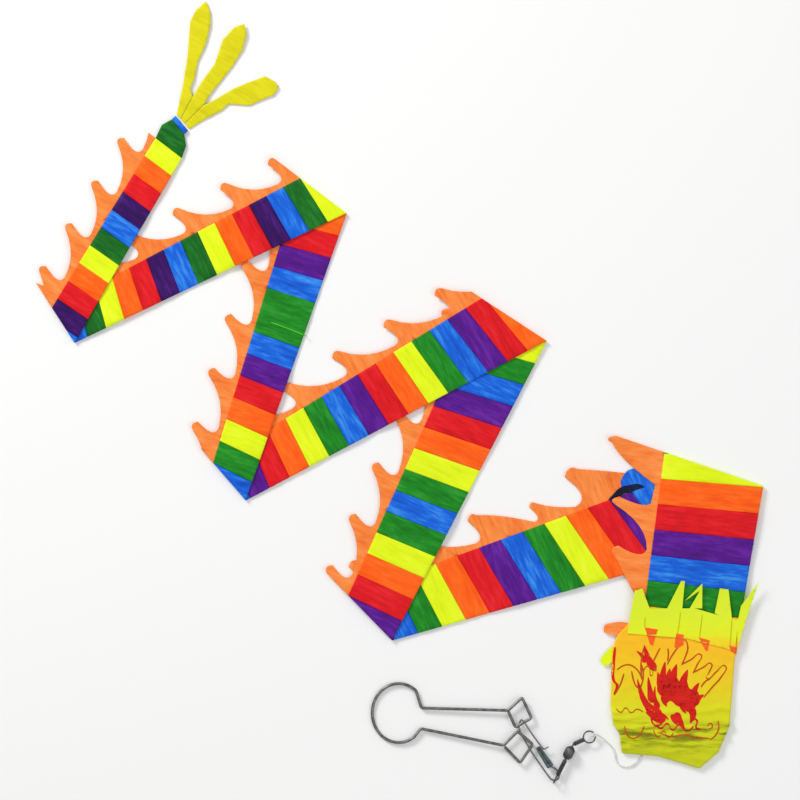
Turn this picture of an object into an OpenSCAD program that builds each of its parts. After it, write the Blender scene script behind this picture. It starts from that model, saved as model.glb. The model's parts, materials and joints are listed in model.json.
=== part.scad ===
// Dragon windsock kite laid down in a zig-zag: a flattened, striped fabric tube
// with a printed head, a scalloped flame fin, three tail streamers, a bridle
// line, a barrel swivel, a safety snap and a sprung wire line clip.
// Millimetres, +Z up, the floor at z = 0, the origin under the middle of the layout.

/* [Layout] */
// Width of the folded kite as it lies, along X
layout_w = 572; // [450:1:700]
// Length of the folded kite as it lies, along Y
layout_l = 624; // [500:1:760]

/* [Cloth] */
// Thickness of the flattened body tube (two plies and the air between them)
body_t = 1.2; // [0.8:0.1:2]
// Air gap between one folded section and the next
layer_gap = 0.3; // [0.2:0.05:0.6]
// Thickness of the flame fin cloth
fin_t = 0.6; // [0.3:0.1:0.8]
// Length over which a section steps down from the section under it to the floor
ramp_l = 12; // [8:1:20]
// Free gap between a fold line and the ends of both sections
fold_gap = 0.3; // [0.2:0.05:0.6]
// Thickness of the stuffed head
head_t = 3; // [2:0.5:6]
// Thickness of the mane collar cloth
mane_t = 0.8; // [0.4:0.1:1.5]
// Thickness of the tail streamers
streamer_t = 0.8; // [0.4:0.1:1.5]
// Thickness of the sewn binding at the tail tip
binding_t = 1.6; // [1:0.1:2.4]

/* [Flame fin] */
// Height of the flames along the body
flame_h = 26; // [18:1:32]
// Height of the taller flames on the neck section
neck_flame_h = 40; // [26:1:42]
// Cloth left between the bottom of a bay and the body
bay_floor = 4; // [2:0.5:8]

/* [Line clip] */
// Diameter of the spring wire of the line clip
clip_wire_d = 2.4; // [1.6:0.1:3.2]
// Half width of the clip's open ring
ring_half_w = 21.3; // [16:0.1:24]
// Half height of the clip's open ring
ring_half_h = 23.6; // [20:0.1:26]

/* [Snap and swivel] */
// Diameter of the snap's spring wire
snap_wire_d = 1.2; // [0.8:0.1:1.4]
// Width of the snap's folded sleeve
sleeve_w = 5; // [4:0.1:6]
// Length of the snap's folded sleeve
sleeve_l = 19; // [14:0.5:22]
// Diameter of the swivel barrel
barrel_d = 8; // [7:0.1:9]
// Length of the swivel barrel
barrel_l = 11; // [9:0.5:13]
// Diameter of the pins that turn inside the barrel
pin_d = 1.6; // [1.2:0.1:2]
// Clearance round each pin in the barrel's end holes
pin_clearance = 0.2; // [0.1:0.05:0.4]
// Outer diameter of the eye that the bridle is tied to
line_eye_d = 10.6; // [9:0.1:12]
// Outer diameter of the eye that the snap hangs in
snap_eye_d = 8; // [7.5:0.1:8.2]
// Diameter of the wire of both eyes
eye_wire_d = 1.2; // [0.8:0.1:1.4]

/* [Bridle] */
// Diameter of the braided bridle line
bridle_d = 1.2; // [0.8:0.1:1.6]

/* [Hidden] */
$fn = 64;
SECTIONS = 7;
COLOUR_NAMES = ["yellow", "orange", "red", "purple", "blue", "green"];
COLOUR_LETTERS = "YORPBG";
COLOUR_PAINT = ["#D9EC28", "#FF6414", "#D21419", "#4B0F82", "#145FD7", "#197D1E"];
FIN_PAINT = "#F5823C";
HEAD_PAINT = "#EBDC1E";
STEEL_PAINT = "#8C8C90";

// Colour letter of each stripe from the collar to the tail tip
STRIPES = str(
    "YGBPROYGBPROYGBPROYGB",
    "PROYGBGYORPBGY",
    "ORPBGYORPBGYORP",
    "BGYORPBGGBPRO",
    "YGBPROYGBPROYGB",
    "PROYGBPROYG"
);

stripe_nodes = [
    for (k = [1:SECTIONS])
        for (name = COLOUR_NAMES)
            str("section_", k, "_", name)
];
fin_nodes = [for (k = [1:SECTIONS]) str("flame_fin_", k)];

// Moves the layout so that its footprint is centred on the origin
centre_shift = [3.5, -0.5];

// A point of the laid-out cloth, drawn for a 572 x 624 layout
function at(p) = [p.x * layout_w / 572, p.y * layout_l / 624] + centre_shift;

// The collar, six folds and the tail end: the fin-side corner, the plain-side
// corner, and the stripe count reached at each of the two corners
FOLD_FIN = [
    at([192, -170]), at([208, -47]), at([-45, -162]), at([62, 76]),
    at([-153, -56]), at([-83, 172]), at([-282, 68]), at([-199, 204])
];
FOLD_PLAIN = [
    at([269, -180]), at([287, -74]), at([-10, -198]), at([114, 42]),
    at([-127, -86]), at([-46, 144]), at([-264, 40]), at([-178, 188])
];
COUNT_FIN = [1, 7.05, 22, 36.1, 51, 64, 78.5, 88];
COUNT_PLAIN = [1, 6.05, 21.1, 35.05, 50.2, 63, 77.7, 88];

// Where each section's first fin bay lies and how far apart its bays are
FIRST_BAY = [17, 31, 28, 18, 26];
BAY_PITCH = [45, 48, 45, 43, 40];

level = body_t + layer_gap;
above_all = 20;
overrun = 60;

function unit(v) = v / norm(v);
function blend(a, b, t) = a * (1 - t) + b * t;
function middle(a, b) = (a + b) / 2;
function cross2(a, b) = a.x * b.y - a.y * b.x;
function heading(v) = atan2(v.y, v.x);

// Where the line from p along d meets the line from q along e
function meet(p, d, q, e) = p + d * cross2(q - p, e) / cross2(d, e);

// A quarter-turn of v, to its left
function left_of(v) = [-v.y, v.x];

function flame_height(k) = k == 1 ? neck_flame_h : flame_h;
// The second section is turned a little under the first: its strip starts from
// these corners, and a short turned end joins them to the fold
TURN_FIN = at([215.6, -66.4]);
TURN_PLAIN = at([277.2, -116.5]);

function with_turn(k, corners, turn) =
    [for (i = [0:SECTIONS]) k == 2 && i == 1 ? turn : corners[i]];
function fin_corners(k) = with_turn(k, FOLD_FIN, TURN_FIN);
function plain_corners(k) = with_turn(k, FOLD_PLAIN, TURN_PLAIN);

function start_mid(k) = middle(fin_corners(k)[k - 1], plain_corners(k)[k - 1]);
function end_mid(k) = middle(fin_corners(k)[k], plain_corners(k)[k]);
function run(k) = unit(end_mid(k) - start_mid(k));
function run_length(k) = norm(end_mid(k) - start_mid(k));
function fin_edge(k) = unit(fin_corners(k)[k] - fin_corners(k)[k - 1]);
function plain_edge(k) = unit(plain_corners(k)[k] - plain_corners(k)[k - 1]);

// Which side of the fin edge the fin is on: +1 left of travel, -1 right
function fin_side(k) = cross2(fin_edge(k), fin_corners(k)[k] - plain_corners(k)[k]) > 0 ? 1 : -1;
function fin_out(k) = left_of(fin_edge(k)) * fin_side(k);

// Where the crests of one section's flames pass the plain edge of the other
function last_contact(fin_k, plain_k) = meet(
    fin_corners(fin_k)[fin_k] + fin_out(fin_k) * flame_height(fin_k), fin_edge(fin_k),
    plain_corners(plain_k)[plain_k], plain_edge(plain_k)
);

// How far a section lies on its neighbour, measured from their fold
function lap(k) = k == 1
    ? (end_mid(1) - last_contact(1, 2)) * run(1)
    : (last_contact(k - 1, k) - start_mid(k)) * run(k);

// Underside of a section as [distance along it, height] points
function underside(k) =
    k == 1
        ? [
            [-overrun, 0],
            [run_length(1) - lap(1) - ramp_l, 0],
            [run_length(1) - lap(1), level],
            [run_length(1) + overrun, level]
        ]
    : k == 2
        ? [[-overrun, 0], [run_length(2) + overrun, 0]]
        : [
            [-overrun, level],
            [lap(k), level],
            [lap(k) + ramp_l, 0],
            [run_length(k) + overrun, 0]
        ];

// A sheet of one thickness that follows a section's underside
module section_sheet(k, thick) {
    low = underside(k);
    high = [for (i = [len(low) - 1:-1:0]) low[i] + [0, thick]];
    translate(concat(start_mid(k), 0))
        rotate(heading(run(k)))
            rotate([90, 0, 0])
                linear_extrude(height = 4 * overrun, center = true)
                    polygon(concat(low, high));
}

// Corners of a section, kept back from both of its fold lines
function back_from_start(k, p) = k == 1 ? p : p + run(k) * fold_gap;
function back_from_end(k, p) = k == SECTIONS ? p : p - run(k) * fold_gap;
function corner(k, edge, i) =
    i == k ? back_from_end(k, edge[i]) : back_from_start(k, edge[i]);

// The point on the fin edge where the stripe count is n; before the edge
// starts, the point lies on the fold line instead
function fin_point(k, n) =
    n >= COUNT_FIN[k - 1]
        ? blend(
            corner(k, fin_corners(k), k - 1), corner(k, fin_corners(k), k),
            (n - COUNT_FIN[k - 1]) / (COUNT_FIN[k] - COUNT_FIN[k - 1])
        )
        : blend(
            corner(k, plain_corners(k), k - 1), corner(k, fin_corners(k), k - 1),
            (n - COUNT_PLAIN[k - 1]) / (COUNT_FIN[k - 1] - COUNT_PLAIN[k - 1])
        );

// The same on the plain edge, which ends before the fin edge does
function plain_point(k, n) =
    n <= COUNT_PLAIN[k]
        ? blend(
            corner(k, plain_corners(k), k - 1), corner(k, plain_corners(k), k),
            (n - COUNT_PLAIN[k - 1]) / (COUNT_PLAIN[k] - COUNT_PLAIN[k - 1])
        )
        : blend(
            corner(k, plain_corners(k), k), corner(k, fin_corners(k), k),
            (n - COUNT_PLAIN[k]) / (COUNT_FIN[k] - COUNT_PLAIN[k])
        );

function near(a, b) = norm(a - b) < 0.01;
function tidy(points) = [
    for (i = [0:len(points) - 1])
        if (!near(points[i], points[(i + 1) % len(points)])) points[i]
];

// Outline of one stripe of a section
function stripe_outline(k, n) =
    let (
        n0 = max(n, COUNT_PLAIN[k - 1]),
        n1 = min(n + 1, COUNT_FIN[k]),
        start_corner = n0 < COUNT_FIN[k - 1] && COUNT_FIN[k - 1] < n1
            ? [corner(k, fin_corners(k), k - 1)] : [],
        end_corner = n0 < COUNT_PLAIN[k] && COUNT_PLAIN[k] < n1
            ? [corner(k, plain_corners(k), k)] : []
    )
    tidy(concat(
        [fin_point(k, n0)], start_corner, [fin_point(k, n1), plain_point(k, n1)],
        end_corner, [plain_point(k, n0)]
    ));

// Leaf-shaped end of the last stripe, where the tube closes
TAIL_LEAF = [
    at([-199, 204]), at([-178, 188]), at([-174.6, 198]), at([-176, 207]),
    at([-186, 219]), at([-194, 214.5])
];

// All the stripes of one colour in one section
module stripes(k, c) {
    first = floor(COUNT_PLAIN[k - 1]);
    last = ceil(COUNT_FIN[k]) - 1;
    color(COLOUR_PAINT[c])
        intersection() {
            section_sheet(k, body_t);
            linear_extrude(height = above_all)
                for (n = [first:last])
                    if (STRIPES[n] == COLOUR_LETTERS[c])
                        polygon(stripe_outline(k, n));
        }
    if (k == 2 && STRIPES[first] == COLOUR_LETTERS[c])
        color(COLOUR_PAINT[c])
            linear_extrude(height = body_t)
                polygon([
                    back_from_start(k, FOLD_FIN[1]), back_from_start(k, FOLD_PLAIN[1]),
                    corner(k, plain_corners(k), 1), corner(k, fin_corners(k), 1)
                ]);
    if (k == SECTIONS && COLOUR_NAMES[c] == "green")
        color(COLOUR_PAINT[c])
            linear_extrude(height = body_t)
                polygon(TAIL_LEAF);
}

function bezier(a, b, c, steps) = [
    for (i = [0:steps - 1])
        let (t = i / steps)
        a * (1 - t) * (1 - t) + b * 2 * t * (1 - t) + c * t * t
];

// One flame from bay to bay: u runs along the edge, v away from the body, and
// belly is how far out the back of the flame swells
function flame(u, pitch, h, belly) = concat(
    bezier([u, bay_floor], [u + pitch * 0.5, belly], [u + pitch * 0.82, h * 0.88], 6),
    bezier([u + pitch * 0.82, h * 0.88], [u + pitch * 0.92, h * 1.08], [u + pitch, h * 0.82], 4),
    bezier([u + pitch, h * 0.82], [u + pitch * 0.78, h * 0.18], [u + pitch, bay_floor], 6)
);

// Uneven flames by the head as [start, length, share of the height, belly]
NECK_FLAMES = [[1, 44, 0.83, 20], [45, 39, 0.95, 6], [97, 35, 1.2, 36]];
TURNED_FLAMES = [
    [12, 70, 1.38, 22], [82, 35, 0.77, 9], [117, 50, 1.08, 20], [167, 52, 1, 6],
    [219, 50, 1, 6]
];

function even_flames(k, length) =
    let (pitch = BAY_PITCH[k - 3], first = FIRST_BAY[k - 3] - pitch)
    [for (i = [0:ceil((length - first) / pitch) - 1])
        [first + i * pitch, pitch, 1, bay_floor + 1]];
function flames(k, length) =
    k == 1 ? NECK_FLAMES : k == 2 ? TURNED_FLAMES : even_flames(k, length);

module flame_fin(k) {
    edge_start = corner(k, fin_corners(k), k - 1);
    edge_end = corner(k, fin_corners(k), k);
    row = flames(k, norm(edge_end - edge_start));
    crest = [for (f = row) each flame(f[0], f[1], flame_height(k) * f[2], f[3])];
    row_end = row[len(row) - 1][0] + row[len(row) - 1][1];
    outline = concat([[row[0][0], 0]], crest, [[row_end, bay_floor], [row_end, 0]]);
    start_fold = unit(fin_corners(k)[k - 1] - plain_corners(k)[k - 1]);
    end_fold = unit(fin_corners(k)[k] - plain_corners(k)[k]);
    color(FIN_PAINT)
        intersection() {
            section_sheet(k, fin_t);
            linear_extrude(height = above_all)
                intersection() {
                    polygon([
                        for (p = outline)
                            edge_start + fin_edge(k) * p.x + fin_out(k) * p.y
                    ]);
                    polygon([
                        edge_start, edge_start + start_fold * overrun * 2,
                        edge_end + end_fold * overrun * 2, edge_end
                    ]);
                }
        }
}

// ---- Head and tail ----

HEAD_OUTLINE = [
    at([192, -170]), at([170, -194]), at([166, -206]), at([165, -249]), at([167, -265]),
    at([172, -272]), at([174, -288]), at([202, -290]), at([236, -300]), at([251, -287]),
    at([260, -266]), at([264, -212]), at([266, -206]), at([269, -180])
];

module head_cover() {
    color(HEAD_PAINT)
        linear_extrude(height = head_t)
            polygon(HEAD_OUTLINE);
}

// Base left, tip and base right of each mane point
MANE_BAND = [
    at([178, -192]), at([196, -172]), at([232, -172]), at([267, -182]), at([264, -206]),
    at([226, -196])
];
MANE_POINTS = [
    [[178, -192], [184, -158], [190, -156], [196, -172]],
    [[210, -172], [221, -150], [224, -150], [222, -173]],
    [[228, -172], [236, -158], [224, -166], [238, -152], [238, -172]],
    [[248, -176], [252, -156], [259, -157], [262, -182]],
    [[266, -204], [276, -172], [283, -151], [269, -170], [266, -184]]
];

module mane_collar() {
    color(HEAD_PAINT)
        translate([0, 0, head_t])
            linear_extrude(height = mane_t) {
                polygon(MANE_BAND);
                for (points = MANE_POINTS)
                    polygon([for (p = points) at(p)]);
            }
}

BINDING_OUTLINE = [at([-176, 207]), at([-186, 219]), at([-183, 222]), at([-173, 210])];

module tail_binding() {
    color(COLOUR_PAINT[4])
        linear_extrude(height = binding_t)
            polygon(BINDING_OUTLINE);
}

STREAMERS = [
    [
        [-182.7, 222.3], [-178, 243], [-174, 268], [-171.6, 297], [-167, 306], [-159, 313],
        [-155.6, 304], [-155.6, 294], [-159.6, 278], [-165.6, 265], [-168.5, 251],
        [-171.6, 244], [-170.2, 236.4], [-179.4, 219]
    ],
    [
        [-179.2, 218.7], [-170, 236.2], [-162.8, 248], [-152, 263], [-145.6, 282],
        [-136.4, 292], [-128.4, 295], [-126.8, 287], [-130, 274], [-137.2, 262],
        [-145.6, 251], [-155.6, 239], [-161, 230], [-176.2, 215.2]
    ],
    [
        [-176, 215], [-161, 229.7], [-151.6, 234.4], [-137.2, 243], [-125.6, 248],
        [-111.6, 253], [-102.8, 248], [-101.2, 244], [-105.2, 238], [-114.8, 234],
        [-124.4, 229.6], [-141.2, 231], [-146.8, 225.6], [-159.6, 219], [-172.7, 210.8]
    ]
];

// The streamers start clear of the binding, so that they can be lifted upright
streamer_gap = 0.6;
streamer_out = unit(left_of(BINDING_OUTLINE[3] - BINDING_OUTLINE[2]));

module tail_streamers() {
    color("#CDC814")
        translate(concat(streamer_out * streamer_gap, 0))
            for (points = STREAMERS)
                linear_extrude(height = streamer_t)
                    polygon([for (p = points) at(p)]);
}

// ---- Swept wire ----

// Rounds each inner corner of a path with a short curve that starts r before it
function eased(points, r, steps) = concat(
    [points[0]],
    [
        for (i = [1:len(points) - 2])
            let (
                a = points[i] + unit(points[i - 1] - points[i]) * r,
                b = points[i] + unit(points[i + 1] - points[i]) * r
            )
            each concat(bezier(a, points[i], b, steps), [b])
    ],
    [points[len(points) - 1]]
);

function path_direction(path, i) =
    i == 0 ? unit(path[1] - path[0])
    : i == len(path) - 1 ? unit(path[i] - path[i - 1])
    : unit(unit(path[i] - path[i - 1]) + unit(path[i + 1] - path[i]));

// A direction square to the path, carried from ring to ring without twisting
function carried(side, d) = unit(side - d * (side * d));
function path_sides(path) = [
    for (
        i = 0, side = unit(cross(path_direction(path, 0), [0, 0, 1]));
        i < len(path);
        i = i + 1,
        side = i < len(path) ? carried(side, path_direction(path, i)) : side
    ) side
];

// A round wire of radius r swept along a path
module wire(path, r, sides) {
    rings = len(path);
    ring_sides = path_sides(path);
    vertices = [
        for (i = [0:rings - 1])
            let (
                side = ring_sides[i],
                up = cross(side, path_direction(path, i))
            )
            for (j = [0:sides - 1])
                path[i] + r * (side * cos(360 * j / sides) + up * sin(360 * j / sides))
    ];
    walls = [
        for (i = [0:rings - 2])
            for (j = [0:sides - 1])
                let (next = (j + 1) % sides)
                [
                    i * sides + j, i * sides + next,
                    (i + 1) * sides + next, (i + 1) * sides + j
                ]
    ];
    first_cap = [for (j = [sides - 1:-1:0]) j];
    last_cap = [for (j = [0:sides - 1]) (rings - 1) * sides + j];
    polyhedron(vertices, concat([first_cap], walls, [last_cap]), convexity = 10);
}

// ---- Swivel ----

// The swivel lies with its barrel on the floor; its axis points to the bridle
barrel_at = concat(at([131.5, -287.5]), barrel_d / 2);
barrel_turn = 63;
barrel_axis = [cos(barrel_turn), sin(barrel_turn), 0];
barrel_wall = 0.9;
pin_head_d = pin_d * 2;
pin_head_l = 1.4;
pin_head_step = 1.2;
wrap_d = pin_d * 2;
snap_neck_l = 19.5;
line_pin_l = 2;
line_neck_bend = -38;
line_neck_reach = 9.5;
end_play = 0.3;

module on_barrel_axis(distance) {
    translate(barrel_at + barrel_axis * distance)
        rotate([0, 90, barrel_turn])
            children();
}

module swivel_barrel() {
    inner_r = barrel_d / 2 - barrel_wall;
    hole_r = pin_d / 2 + pin_clearance;
    neck_r = hole_r + barrel_wall;
    half = barrel_l / 2;
    color(STEEL_PAINT)
        on_barrel_axis(0)
            rotate_extrude()
                polygon([
                    [hole_r, -half], [neck_r, -half], [barrel_d / 2, -half * 0.55],
                    [barrel_d / 2, half * 0.55], [neck_r, half], [hole_r, half],
                    [hole_r, half - barrel_wall], [inner_r, half * 0.5],
                    [inner_r, -half * 0.5], [hole_r, -half + barrel_wall]
                ]);
}

// A pin with a head that turns inside the barrel, end = +1 or -1
module barrel_pin(end, length) {
    head_face = barrel_l / 2 - barrel_wall - end_play;
    rotate([0, end > 0 ? 0 : 180, 0]) {
        translate([0, 0, head_face - pin_head_l - pin_head_step])
            cylinder(d = pin_head_d, h = pin_head_l);
        translate([0, 0, head_face - pin_head_l])
            cylinder(d = pin_d, h = length + barrel_wall + end_play + pin_head_l);
    }
}

module wire_ring(outer_d, wire_d) {
    rotate_extrude()
        translate([outer_d / 2 - wire_d / 2, 0])
            circle(d = wire_d);
}

line_neck_end = barrel_at + barrel_axis * (barrel_l / 2 + line_pin_l);
line_neck_turn = barrel_turn + line_neck_bend;
line_neck_axis = [cos(line_neck_turn), sin(line_neck_turn), 0];
line_eye_at = line_neck_end
    + line_neck_axis * (line_neck_reach + line_eye_d / 2 - eye_wire_d / 2);
snap_eye_at = barrel_at
    - barrel_axis * (snap_neck_l + snap_eye_d / 2);

// Eye and twisted neck on the bridle side, bent a little out of the barrel's line
module line_eye() {
    color(STEEL_PAINT) {
        on_barrel_axis(0)
            barrel_pin(1, line_pin_l + 1);
        translate(line_neck_end)
            rotate([0, 90, line_neck_turn])
                cylinder(d = wrap_d, h = line_neck_reach + eye_wire_d / 2);
        translate(line_eye_at)
            wire_ring(line_eye_d, eye_wire_d);
    }
}

// Eye that stands on edge so that the snap's wire passes through it
module snap_eye() {
    snap_pin_l = snap_neck_l - barrel_l / 2;
    color(STEEL_PAINT) {
        on_barrel_axis(0) {
            barrel_pin(-1, snap_pin_l);
            rotate([0, 180, 0])
                translate([0, 0, barrel_l / 2 + end_play])
                    cylinder(d = wrap_d, h = snap_pin_l - end_play + eye_wire_d / 2);
        }
        translate(snap_eye_at)
            rotate([90, 0, barrel_turn])
                wire_ring(snap_eye_d, eye_wire_d);
    }
}

// ---- Snap ----

// All snap and clip points are measured from the middle of the snap eye
function from_eye(p) = [snap_eye_at.x + p.x, snap_eye_at.y + p.y, p.z];

// Corners of the snap's wire from its hook down to the sleeve
SNAP_CORNERS = [
    [-25.0, 45.8, 6.7], [-27.0, 47.6, 6.2], [-28.2, 46.6, 2.6], [-29.4, 41.8, 1.8],
    [-27.6, 36.0, 1.8], [-19.5, 22.0, 1.9], [-9.5, 7.5, 3.0], [-4.2, 0.2, 3.5],
    [-0.7, -1.4, 3.4], [2.6, 0.2, 2.0], [3.4, 4.6, 1.2], [0.6, 7.6, 1.2], [-4.5, 10.5, 2.2]
];
SLEEVE_FOOT = [-3.9, 9.6, 2.4];
sleeve_turn = 123;
sleeve_h = snap_wire_d + 1.4;

module snap_frame() {
    color(STEEL_PAINT) {
        wire([for (p = eased(SNAP_CORNERS, 1.2, 2)) from_eye(p)], snap_wire_d / 2, 8);
        translate(from_eye(SLEEVE_FOOT))
            rotate(sleeve_turn)
                translate([sleeve_l / 2, 0, 0])
                    cube([sleeve_l, sleeve_w, sleeve_h], center = true);
    }
}

// The sprung leg that closes the snap, from the hook to its catch on the sleeve
GATE_CORNERS = [
    [-24.6, 45.1, 6.7], [-20.5, 38.5, 6.6], [-13, 28, 4.7], [-9.4, 23.6, 4.6], [-5.6, 26, 4.6]
];

module snap_gate() {
    color(STEEL_PAINT)
        wire([for (p = eased(GATE_CORNERS, 1.2, 2)) from_eye(p)], snap_wire_d / 2, 8);
}

// ---- Line clip ----

CLIP_UPPER = [[-36.8, 52.3], [-32.2, 41.4], [-19.2, 48.8], [-26.8, 65.2], [-38, 54.8]];
CLIP_RING = [-125.3, 52.6];
CLIP_LOWER = [[-41.6, 26.8], [-30.4, 38.2], [-18.2, 27.8], [-28.4, 13], [-39.4, 24.5]];
CLIP_ARM_UPPER = [-107.2, 56.6];
CLIP_ARM_LOWER = [-107.6, 40.2];
ring_steps = 16;
ring_from = 50;
ring_to = 305;
clip_tilt = 3 / 126;

// The ring rests on the floor and the clip rises evenly towards the snap
function clip_point(p) = from_eye([
    p.x, p.y, clip_wire_d / 2 + (p.x - CLIP_RING.x + ring_half_w) * clip_tilt
]);

clip_corners = concat(
    CLIP_UPPER,
    [CLIP_ARM_UPPER],
    [
        for (i = [0:ring_steps])
            let (a = ring_from + (ring_to - ring_from) * i / ring_steps)
            CLIP_RING + [ring_half_w * cos(a), ring_half_h * sin(a)]
    ],
    [CLIP_ARM_LOWER],
    CLIP_LOWER
);

module line_clip() {
    color(STEEL_PAINT)
        wire([for (p = eased(clip_corners, 1.8, 2)) clip_point(p)], clip_wire_d / 2, 8);
}

// ---- Bridle ----

// Route of the line, from its knot on the eye to the tape sewn in the mouth
BRIDLE_ROUTE = [
    [152.7, -274.5, 3.8], [153.9, -273.9, 5.1], [155.5, -273.2, 5.5], [157.3, -273.4, 5],
    [159.9, -274.9, 3], [162.9, -277.1, 1.4], [166.5, -280.3, 0.7], [169.9, -283.9, 0.6],
    [171.9, -288.5, 0.6], [173.1, -293.9, 0.6], [175.9, -298.1, 0.6], [181.1, -299.5, 0.6],
    [186.7, -298.1, 0.6], [190.9, -294.1, 0.6], [193.9, -290.9, 0.6], [196.1, -287.5, 0.6]
];
// Its first points keep to the eye and its last ones to the mouth; the slack between gives
eye_move = line_eye_at - [151.28, -275.32, 4];
mouth_move = concat(at([174, -288]) - [177.5, -288.5], 0);
first_slack_point = 3;
last_slack_point = 9;

function slack_share(i) = min(1, max(0,
    (i - first_slack_point) / (last_slack_point - first_slack_point)));
function bridle_point(i) = BRIDLE_ROUTE[i]
    + eye_move * (1 - slack_share(i)) + mouth_move * slack_share(i);

module bridle_line() {
    color("white")
        wire([for (i = [0:len(BRIDLE_ROUTE) - 1]) bridle_point(i)], bridle_d / 2, 8);
}

// ---- The assembly, one node at a time or all together ----

for (k = [1:SECTIONS])
    for (c = [0:len(COLOUR_NAMES) - 1])
        stripes(k, c);
for (k = [1:SECTIONS])
    flame_fin(k);
head_cover();
mane_collar();
tail_binding();
tail_streamers();
bridle_line();
line_eye();
swivel_barrel();
snap_eye();
snap_frame();
snap_gate();
line_clip();
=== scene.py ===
"""A folded dragon windsock kite with its bridle, swivel, snap and line clip, laid on a pale floor."""

import json
import math

import bpy
from mathutils import Matrix, Vector, noise
from mathutils.bvhtree import BVHTree


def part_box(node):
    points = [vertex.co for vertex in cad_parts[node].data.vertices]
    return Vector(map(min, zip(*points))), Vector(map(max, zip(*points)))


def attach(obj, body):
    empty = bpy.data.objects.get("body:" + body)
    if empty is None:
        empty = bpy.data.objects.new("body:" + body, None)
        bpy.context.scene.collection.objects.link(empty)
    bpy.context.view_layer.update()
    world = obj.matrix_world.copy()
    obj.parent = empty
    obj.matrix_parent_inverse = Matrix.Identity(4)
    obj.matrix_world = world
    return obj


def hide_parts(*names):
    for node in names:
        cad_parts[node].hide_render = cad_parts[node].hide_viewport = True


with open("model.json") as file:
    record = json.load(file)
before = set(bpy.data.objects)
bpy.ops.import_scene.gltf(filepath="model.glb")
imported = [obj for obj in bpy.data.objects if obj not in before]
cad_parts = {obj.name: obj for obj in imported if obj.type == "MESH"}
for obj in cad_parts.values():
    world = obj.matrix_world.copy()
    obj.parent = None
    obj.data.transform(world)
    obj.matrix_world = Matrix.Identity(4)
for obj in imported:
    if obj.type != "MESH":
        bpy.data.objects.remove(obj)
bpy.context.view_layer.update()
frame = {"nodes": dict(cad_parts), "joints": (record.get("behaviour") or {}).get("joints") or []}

MM = 0.001
COLOURS = ["yellow", "orange", "red", "purple", "blue", "green"]
SECTIONS = range(1, 8)


# ---------- Small helpers ----------

def deselect():
    if bpy.context.mode != "OBJECT":
        bpy.ops.object.mode_set(mode="OBJECT")
    bpy.ops.object.select_all(action="DESELECT")


def take(obj):
    """Makes obj the only selected and active object."""
    deselect()
    obj.select_set(True)
    bpy.context.view_layer.objects.active = obj


def edit(obj):
    take(obj)
    bpy.ops.object.mode_set(mode="EDIT")
    bpy.ops.mesh.select_mode(type="VERT")


def done():
    bpy.ops.object.mode_set(mode="OBJECT")


def settle(obj):
    """Moves the object's place into its mesh."""
    take(obj)
    bpy.ops.object.transform_apply(location=True, rotation=True, scale=True)


def finish_modifier(obj, kind, **settings):
    take(obj)
    modifier = obj.modifiers.new(kind.title(), kind)
    for name, value in settings.items():
        setattr(modifier, name, value)
    bpy.ops.object.modifier_apply(modifier=modifier.name)


def smooth(obj, degrees=35):
    take(obj)
    bpy.ops.object.shade_smooth_by_angle(angle=math.radians(degrees))


def joined(pieces, name):
    deselect()
    for piece in pieces:
        piece.select_set(True)
    bpy.context.view_layer.objects.active = pieces[0]
    if len(pieces) > 1:
        bpy.ops.object.join()
    whole = bpy.context.view_layer.objects.active
    whole.name = name
    whole.data.name = name
    return whole


def copy_of_node(node, name):
    """A merged copy of a CAD node's mesh, with its flat faces made whole."""
    source = frame["nodes"][node]
    piece = bpy.data.objects.new(name, source.data.copy())
    bpy.context.scene.collection.objects.link(piece)
    piece.data.materials.clear()
    edit(piece)
    bpy.ops.mesh.select_all(action="SELECT")
    bpy.ops.mesh.remove_doubles(threshold=0.004 * MM)
    bpy.ops.mesh.dissolve_limited(angle_limit=math.radians(1))
    done()
    return piece


def dress(piece, material, slot, body, *replaced):
    """Gives a finished piece its one material and its body, and hides the parts it replaces; slot is not
    used.
    """
    piece.data.materials.clear()
    piece.data.materials.append(material)
    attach(piece, body)
    if replaced:
        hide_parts(*replaced)


# ---------- The layout, read from the frame ----------

JOINT = {j["name"]: j for j in frame["joints"]}


def joint_place(name):
    return Vector(JOINT[name]["pos_m"])


def middle_of(node):
    low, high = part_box(node)
    return (low + high) / 2


neck_start = middle_of("section_1_green")
neck_start.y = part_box("head_cover")[1].y
neck_start.x = middle_of("section_1_blue").x
STOPS = [neck_start] + [joint_place("fold_%d" % k) for k in range(1, 7)] + [joint_place("tail_lift")]


def run_of(k):
    """Unit vector along section k, from the head to the tail."""
    along = STOPS[k] - STOPS[k - 1]
    along.z = 0
    return along.normalized()


def fin_side(k):
    """Unit vector square to section k's run, towards its flame fin."""
    along = run_of(k)
    side = Vector((-along.y, along.x, 0))
    fin = middle_of("flame_fin_%d" % k)
    fin.z = 0
    return side if (fin - STOPS[k]).dot(side) > (STOPS[k - 1] - STOPS[k]).dot(side) else -side


RUN = {k: run_of(k) for k in SECTIONS}
SIDE = {k: fin_side(k) for k in SECTIONS}


def body_of_section(k):
    return "head_and_neck" if k == 1 else "ribbon_%d" % k


# ---------- Camera, lights and floor ----------

VIEW_WIDTH = 0.640
VIEW_MIDDLE_Y = -6 * MM
CAMERA_HEIGHT = 4.0
SENSOR_WIDTH = 36
FLOOR_GAP = 0.4 * MM


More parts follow.
